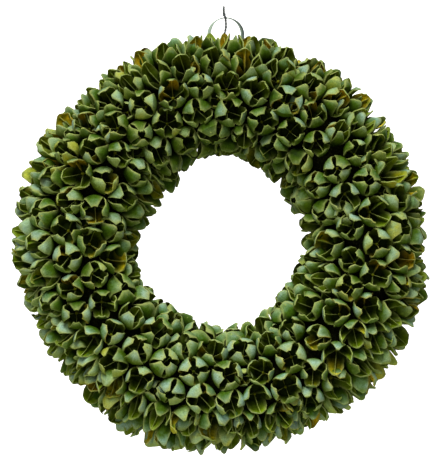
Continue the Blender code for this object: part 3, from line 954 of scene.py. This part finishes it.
def make_strip_material():
    """A flat plant strip with a thin green coat, darker and bare in places."""
    nodes = nodes_of_new("strip_coat")
    streak = nodes.streaks(14.0, 0.5)
    patch, _ = nodes.coat(150.0, 1300.0)
    colour = nodes.ramp(
        nodes.line(patch, 0.35, nodes.attribute("strip_tone")["Fac"]),
        (0.15, (0.36, 0.45, 0.34)),
        (0.5, (0.25, 0.31, 0.25)),
        (0.8, (0.11, 0.135, 0.115)),
        (1.1, (0.045, 0.06, 0.055)),
    )
    fibres = nodes.ramp(streak, (0.35, (0.6, 0.62, 0.58)), (0.65, (1.1, 1.1, 1.1)))
    nodes.finish(nodes.tint(colour, fibres), 0.7, streak, 0.5, 0.25)


def make_wire_material():
    """Dull dark wire with a thin rusty film."""
    nodes = nodes_of_new("wire_film", Metallic=0.6)
    patch, speck = nodes.coat(300.0, 1600.0)
    stops = ((0.35, (0.06, 0.07, 0.07)), (0.55, (0.13, 0.14, 0.135)), (0.75, (0.15, 0.10, 0.07)))
    nodes.finish(nodes.ramp(patch, *stops), nodes.line(speck, 0.4, 0.3), speck, 0.3, 0.1)


class WREATH_OT_finishes(Operator):
    """Makes the materials and the node groups that they share"""

    bl_idname = "wreath.finishes"
    bl_label = "Finishes"

    def execute(self, context):
        colours = context.scene.wreath_colours
        make_streaks_group()
        make_patches_group()
        make_pod_material(colours)
        make_bed_material()
        make_straw_material(colours)
        make_thread_material()
        make_strip_material()
        make_wire_material()
        return {"FINISHED"}


class WREATH_OT_pods(Operator):
    """Makes the seed pods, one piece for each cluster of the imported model"""

    bl_idname = "wreath.pods"
    bl_label = "Seed pods"

    def execute(self, context):
        sizes = context.scene.wreath_sizes
        pods, girths = lay_out_pods()
        low_pods, low_girths = tuck_low_pods(pods)
        pods += low_pods
        girths += low_girths
        for cluster in range(CLUSTERS):
            bm = bmesh.new()
            for index, (pod, girth) in enumerate(zip(pods, girths)):
                if pod.cluster != cluster:
                    continue
                one = pod_mesh(pod, girth, index, sizes)
                bm.from_mesh(one)
                bpy.data.meshes.remove(one)
            mesh = mesh_of(bm, "pods", 42)
            name = f"seed_pods_{cluster + 1:02d}"
            node = f"pod_cluster_{cluster + 1:02d}"
            place_piece(name, mesh, "pod_coat", [node])
        return {"FINISHED"}


def spun_roll(section, steps):
    """A closed ring whose section, in the wreath's own frame, is turned round the wreath's axis."""
    bm = bmesh.new()
    face = bm.faces.new([bm.verts.new(point) for point in section])
    geom = [face, *face.edges, *face.verts]
    bmesh.ops.spin(
        bm, geom=geom, cent=(0, 0, 0), axis=(0, -1, 0), angle=math.tau, steps=steps, use_merge=True
    )
    inner_walls = [f for f in bm.faces if len(f.verts) > 4]
    bmesh.ops.delete(bm, geom=inner_walls, context="FACES_ONLY")
    bmesh.ops.recalc_face_normals(bm, faces=bm.faces)
    return bm


def roll_place(point):
    """Theta and phi of a point in the wreath's own frame."""
    theta = math.atan2(point.z, point.x)
    out = math.hypot(point.x, point.z) - RING_RADIUS
    return theta, math.atan2(out, -point.y)


class WREATH_OT_bed(Operator):
    """Makes the bed of glue and fibre round the straw, which the pods stand out of"""

    bl_idname = "wreath.bed"
    bl_label = "Fibre bed"

    section_steps = 18
    ring_steps = 160
    gap = 0.4 * MM
    lump_height = 0.9 * MM
    raggedness = 2.0 * MM

    def execute(self, context):
        end = BED_CORNERS[-1]
        angles = [end * (2 * k / self.section_steps - 1) for k in range(self.section_steps + 1)]
        section = [ring_point(0, angle, BED_RADIUS) for angle in angles]
        section += [ring_point(0, angle, STRAW_RADIUS + self.gap) for angle in reversed(angles)]
        bm = spun_roll(section, self.ring_steps)
        for vert in bm.verts:
            theta, phi = roll_place(vert.co)
            outer = (vert.co - ring_point(theta, phi, 0)).length > STRAW_RADIUS + 2 * MM
            lump = noise.noise(vert.co * 110) * self.lump_height if outer else 0.0
            ragged = noise.noise(vert.co * 190) * self.raggedness if abs(phi) > end - 0.05 else 0.0
            vert.co += roll_normal(theta, phi) * lump + Vector((0, ragged, 0))
        bmesh.ops.translate(bm, vec=CENTRE, verts=bm.verts)
        nodes = [f"pod_cluster_{k + 1:02d}" for k in range(CLUSTERS)]
        mesh = mesh_of(bm, "fibre_bed", 60)
        place_piece("fibre_bed", mesh, "fibre_bed", nodes)
        return {"FINISHED"}


def straw_radius_at(phi):
    """The roll's radius at phi: round, but flat at the back."""
    flat_corner = math.acos(-BACK_PLANE / STRAW_RADIUS)
    if abs(phi) <= flat_corner:
        return STRAW_RADIUS
    return BACK_PLANE / -math.cos(phi)


class WREATH_OT_straw(Operator):
    """Makes the straw roll, the loose straws on its back and the thread that binds it"""

    bl_idname = "wreath.straw"
    bl_label = "Straw ring"

    section_steps = 44
    ring_steps = 384
    roll_sunk = 0.5 * MM
    bundle_height = 0.5 * MM
    waist_depth = 0.8 * MM
    waist_width = 2.2 * MM
    thread_steps = 22
    thread_sunk = 0.25 * MM
    straw_radius = 0.55 * MM
    straw_steps = 6
    back_angles = (math.radians(104), math.radians(256))

    def execute(self, context):
        sizes = context.scene.wreath_sizes
        self.make_roll(sizes)
        self.make_straws(sizes)
        self.make_thread(sizes)
        return {"FINISHED"}

    def waist(self, theta, turns):
        """How far the thread pulls the straw in at theta."""
        place = (theta * turns / math.tau) % 1.0
        away = min(place, 1 - place) * math.tau * RING_RADIUS / turns
        return self.waist_depth * math.exp(-((away / self.waist_width) ** 2))

    def make_roll(self, sizes):
        count = self.section_steps
        angles = [math.tau * (k + 0.5) / count - math.pi for k in range(count)]
        section = [ring_point(0, angle, straw_radius_at(angle) - self.roll_sunk) for angle in angles]
        bm = spun_roll(section, self.ring_steps)
        uv = bm.loops.layers.uv.new("along_straw")
        tone = bm.verts.layers.float.new("straw_tone")
        for vert in bm.verts:
            theta, phi = roll_place(vert.co)
            bundle = noise.noise(Vector((theta * 6, phi * 9, 0.3))) * self.bundle_height
            vert[tone] = 0.35 + 0.25 * noise.noise(Vector((theta * 9, phi * 40, 1.7)))
            vert.co += roll_normal(theta, phi) * (bundle - self.waist(theta, sizes.thread_turns))
        for face in bm.faces:
            theta_0, _ = roll_place(face.calc_center_median())
            for loop in face.loops:
                theta, phi = roll_place(loop.vert.co)
                theta += math.tau * round((theta_0 - theta) / math.tau)
                loop[uv].uv = (phi * 3, theta * 14)
        bmesh.ops.translate(bm, vec=CENTRE, verts=bm.verts)
        mesh = mesh_of(bm, "straw_roll", 60)
        place_piece("straw_roll", mesh, "dry_straw", ["straw_ring"])

    def make_straws(self, sizes):
        rng = random.Random(STRAW_SEED)
        routes = [self.straw_route(rng) for _ in range(sizes.straws)]
        mesh = mesh_of_curve("loose_straws", routes, self.straw_radius, 0, "straw_tone")
        place_piece("loose_straws", mesh, "dry_straw", ["straw_ring"])

    def straw_route(self, rng):
        """A straw's route along the roll's back, a little askew."""
        theta = rng.uniform(0, math.tau)
        phi = rng.uniform(*self.back_angles)
        length = rng.uniform(20, 70) * MM / RING_RADIUS
        slant = rng.gauss(0, 0.12)
        lift = rng.uniform(-0.3, 0.25) * MM
        route = []
        for k in range(self.straw_steps + 1):
            share = k / self.straw_steps - 0.5
            across = phi + slant * share
            across = across if across < math.pi else across - math.tau
            radius = straw_radius_at(across) + lift
            route.append(CENTRE + ring_point(theta + length * share, across, radius))
        return route

    def make_thread(self, sizes):
        steps = sizes.thread_turns * self.thread_steps
        route = []
        for k in range(steps):
            phi = (math.tau * k / self.thread_steps + math.pi) % math.tau - math.pi
            radius = straw_radius_at(phi) - self.thread_sunk
            route.append(CENTRE + ring_point(math.tau * k / steps, phi, radius))
        route.append(route[0])
        mesh = mesh_of_curve("binding_thread", [route], sizes.thread_radius, 1)
        place_piece("binding_thread", mesh, "binding_thread", ["straw_ring"])


class WREATH_OT_hanger(Operator):
    """Makes the bent strip, the wire hook and the tie where they meet"""

    bl_idname = "wreath.hanger"
    bl_label = "Hanger"

    arch_steps = 48
    leg_steps = 8
    section = ((-1, -0.6), (-0.6, -1), (0.6, -1), (1, -0.6), (1, 0.6), (0.6, 1), (-0.6, 1), (-1, 0.6))
    route_steps = 12
    strand_shift = WIRE_DIAMETER * 0.31
    strand_radius = strand_shift * 1.25
    strand_pitch = 6.5 * MM
    tie_turns = 3
    tie_steps = 16
    tie_radius = 0.35 * MM
    tie_size = Vector((2.4, 3.6, 1.15)) * MM
    tie_place = Vector((4.0 * MM, (WIRE_Y + STRIP_Y) / 2 + 0.1 * MM, ARCH_TOP))

    def execute(self, context):
        self.make_strip()
        self.make_wire()
        self.make_tie()
        return {"FINISHED"}

    def stations(self):
        """The strip's path: angle round the arch, and height."""
        middle = ARCH_TOP - ARCH_RADIUS
        angles = [math.pi * (1 - k / self.arch_steps) for k in range(self.arch_steps + 1)]
        path = [(angle, middle + ARCH_RADIUS * math.sin(angle)) for angle in angles]
        step = (middle - STRIP_FOOT) / self.leg_steps
        legs = [middle - step * (k + 1) for k in range(self.leg_steps)]
        return [(math.pi, z) for z in reversed(legs)] + path + [(0.0, z) for z in legs]

    def corners_at(self, angle, z, bend):
        """The strip's section at an angle round the arch, where it turns flat."""
        outward = Vector((math.cos(angle), 0, math.sin(angle)))
        along = Vector((math.sin(angle), 0, -math.cos(angle)))
        flatness = math.sin(angle) * (0.8 if angle < math.pi / 2 else 1.0)
        across = outward.lerp(Vector((0, 1, 0)), flatness).normalized()
        half_width = across * STRIP_WIDTH / 2 * (1 + 0.08 * bend)
        half_thickness = along.cross(across) * STRIP_THICKNESS / 2
        centre = Vector((ARCH_X + ARCH_RADIUS * math.cos(angle), STRIP_Y, z)) + CENTRE
        return [centre + half_width * w + half_thickness * t for w, t in self.section]

    def make_strip(self):
        bm = bmesh.new()
        tone = bm.verts.layers.float.new("strip_tone")
        uv = bm.loops.layers.uv.new("along_strip")
        end = None
        stations = self.stations()
        for k, (angle, z) in enumerate(stations):
            corners = self.corners_at(angle, z, noise.noise(Vector((k * 0.4, 0, 0))))
            if end is None:
                end = bm.faces.new([bm.verts.new(corner) for corner in corners])
            else:
                grown = bmesh.ops.extrude_face_region(bm, geom=[end])["geom"]
                if k > 1:
                    bm.faces.remove(end)
                end = next(f for f in grown if isinstance(f, bmesh.types.BMFace))
            share = k / (len(stations) - 1)
            right = max(0.0, min(1.0, (share - 0.45) * 5))
            for vert, corner, (side, _) in zip(end.verts, corners, self.section):
                vert.co = corner
                darkness = 0.75 if side > -0.2 else 0.25
                vert[tone] = 0.05 + right * darkness + 0.3 * (1 - abs(2 * share - 1))
        for face in bm.faces:
            for loop in face.loops:
                offset = loop.vert.co - CENTRE
                loop[uv].uv = (offset.y * 900, offset.z * 40 + offset.x * 900)
        bmesh.ops.recalc_face_normals(bm, faces=bm.faces)
        mesh = mesh_of(bm, "hanging_strip", 50)
        place_piece("hanging_strip", mesh, "strip_coat", ["hanging_band"])

    def wire_route(self):
        points = [Vector((x * MM, WIRE_Y, z * MM)) for x, z in WIRE_WAVE]
        bend = Vector((HOOK_X, WIRE_Y + HOOK_BEND, HOOK_TOP - HOOK_BEND))
        for k in range(5):
            angle = math.pi * (1 - k / 4)
            points.append(bend + HOOK_BEND * Vector((0, math.cos(angle), math.sin(angle))))
        points.append(points[-1] - Vector((0, 0, HOOK_POINT)))
        return smooth_route([point + CENTRE for point in points], self.route_steps)

    def make_wire(self):
        """Two thin strands twisted together along the hook's route."""
        route = self.wire_route()
        strands = ([], [])
        run = 0.0
        side = Vector((1, 0, 0))
        for k, point in enumerate(route):
            before = route[max(k - 1, 0)]
            ahead = (route[min(k + 1, len(route) - 1)] - before).normalized()
            side = (side - ahead * side.dot(ahead)).normalized()
            run += (point - before).length
            angle = math.tau * run / self.strand_pitch
            offset = side * math.cos(angle) + ahead.cross(side) * math.sin(angle)
            for strand, sign in zip(strands, (1, -1)):
                strand.append(point + offset * self.strand_shift * sign)
        mesh = mesh_of_curve("wire_hook", strands, self.strand_radius, 2)
        place_piece("wire_hook", mesh, "wire_film", ["hanging_hook"])

    def make_tie(self):
        """A few turns of thin wire that hold the strip's top and the hook's wire together."""
        count = self.tie_turns * self.tie_steps
        route = []
        for k in range(count + 1):
            angle = math.tau * k / self.tie_steps
            turn = Vector((k / count - 0.5, math.cos(angle), math.sin(angle)))
            route.append(CENTRE + self.tie_place + turn * self.tie_size)
        mesh = mesh_of_curve("hanger_tie", [route], self.tie_radius, 1)
        place_piece("hanger_tie", mesh, "wire_film", ())


def stage_plane(name, place, turn, material):
    bm = bmesh.new()
    bmesh.ops.create_grid(bm, x_segments=1, y_segments=1, size=PLANE_SIZE / 2)
    bmesh.ops.transform(bm, matrix=Matrix.Translation(CENTRE + place) @ turn, verts=bm.verts)
    mesh = mesh_of(bm, name, 30)
    plane = bpy.data.objects.new(name, mesh)
    bpy.context.scene.collection.objects.link(plane)
    mesh.materials.append(material)


def soft_light(name, place, size, power):
    light = bpy.data.lights.new(name, "AREA")
    light.shape = "SQUARE"
    light.size = size
    light.energy = power
    lamp = bpy.data.objects.new(name, light)
    bpy.context.scene.collection.objects.link(lamp)
    lamp.location = CENTRE + place
    lamp.rotation_mode = "QUATERNION"
    lamp.rotation_quaternion = (-place).to_track_quat("-Z", "Y")


class WREATH_OT_stage(Operator):
    """Makes the plain floor and backdrop, the soft studio light and the camera"""

    bl_idname = "wreath.stage"
    bl_label = "Stage"

    def execute(self, context):
        scene = context.scene
        scene.view_settings.view_transform = "Standard"
        white = new_material(
            "plain_backdrop",
            Base_Color=(0.9, 0.9, 0.9, 1),
            Emission_Color=(1, 1, 1, 1),
            Emission_Strength=1.0,
        )
        floor = new_material("plain_floor", Base_Color=(0.75, 0.75, 0.74, 1), Roughness=0.8)
        upright = Matrix.Rotation(math.radians(90), 4, "X")
        stage_plane("backdrop", Vector((0, BACKDROP_DISTANCE, 0)), upright, white)
        stage_plane("floor", Vector((0, 0, -FLOOR_DROP)), Matrix.Identity(4), floor)

        world = bpy.data.worlds.new("studio")
        scene.world = world
        world.use_nodes = True
        background = world.node_tree.nodes["Background"].inputs
        background["Color"].default_value = WORLD_COLOUR
        background["Strength"].default_value = WORLD_STRENGTH
        for name, (place, size, power) in LIGHTS.items():
            soft_light(name, Vector(place), size, power)

        camera_data = bpy.data.cameras.new("camera")
        camera_data.sensor_width = SENSOR
        camera_data.lens = SENSOR * CAMERA_DISTANCE / (PHOTO_HEIGHT * METRES_PER_PIXEL)
        camera = bpy.data.objects.new("camera", camera_data)
        scene.collection.objects.link(camera)
        right = (PHOTO_WIDTH / 2 - PHOTO_CENTRE_X) * METRES_PER_PIXEL
        up = (PHOTO_CENTRE_Y - PHOTO_HEIGHT / 2) * METRES_PER_PIXEL
        camera.location = CENTRE + Vector((right, -CAMERA_DISTANCE, up))
        camera.rotation_euler = (math.radians(90), 0, 0)
        scene.camera = camera
        return {"FINISHED"}


class WREATH_PT_panel(Panel):
    """The wreath's sizes, colours and steps in the sidebar"""

    bl_idname = "WREATH_PT_panel"
    bl_label = "Seed Pod Wreath"
    bl_space_type = "VIEW_3D"
    bl_region_type = "UI"
    bl_category = "Wreath"

    def draw(self, context):
        for group in (context.scene.wreath_sizes, context.scene.wreath_colours):
            for name in type(group).__annotations__:
                self.layout.prop(group, name)
        for operator in OPERATORS:
            self.layout.operator(operator.bl_idname)


OPERATORS = (
    WREATH_OT_finishes,
    WREATH_OT_pods,
    WREATH_OT_bed,
    WREATH_OT_straw,
    WREATH_OT_hanger,
    WREATH_OT_stage,
)
CLASSES = (WreathSizes, WreathColours, *OPERATORS, WREATH_PT_panel)


def register():
    for cls in CLASSES:
        bpy.utils.register_class(cls)
    bpy.types.Scene.wreath_sizes = PointerProperty(type=WreathSizes)
    bpy.types.Scene.wreath_colours = PointerProperty(type=WreathColours)


def unregister():
    del bpy.types.Scene.wreath_colours
    del bpy.types.Scene.wreath_sizes
    for cls in reversed(CLASSES):
        bpy.utils.unregister_class(cls)


def main():
    register()
    bpy.ops.wreath.finishes()
    bpy.ops.wreath.pods()
    bpy.ops.wreath.bed()
    bpy.ops.wreath.straw()
    bpy.ops.wreath.hanger()
    bpy.ops.wreath.stage()


if __name__ == "__main__":
    main()
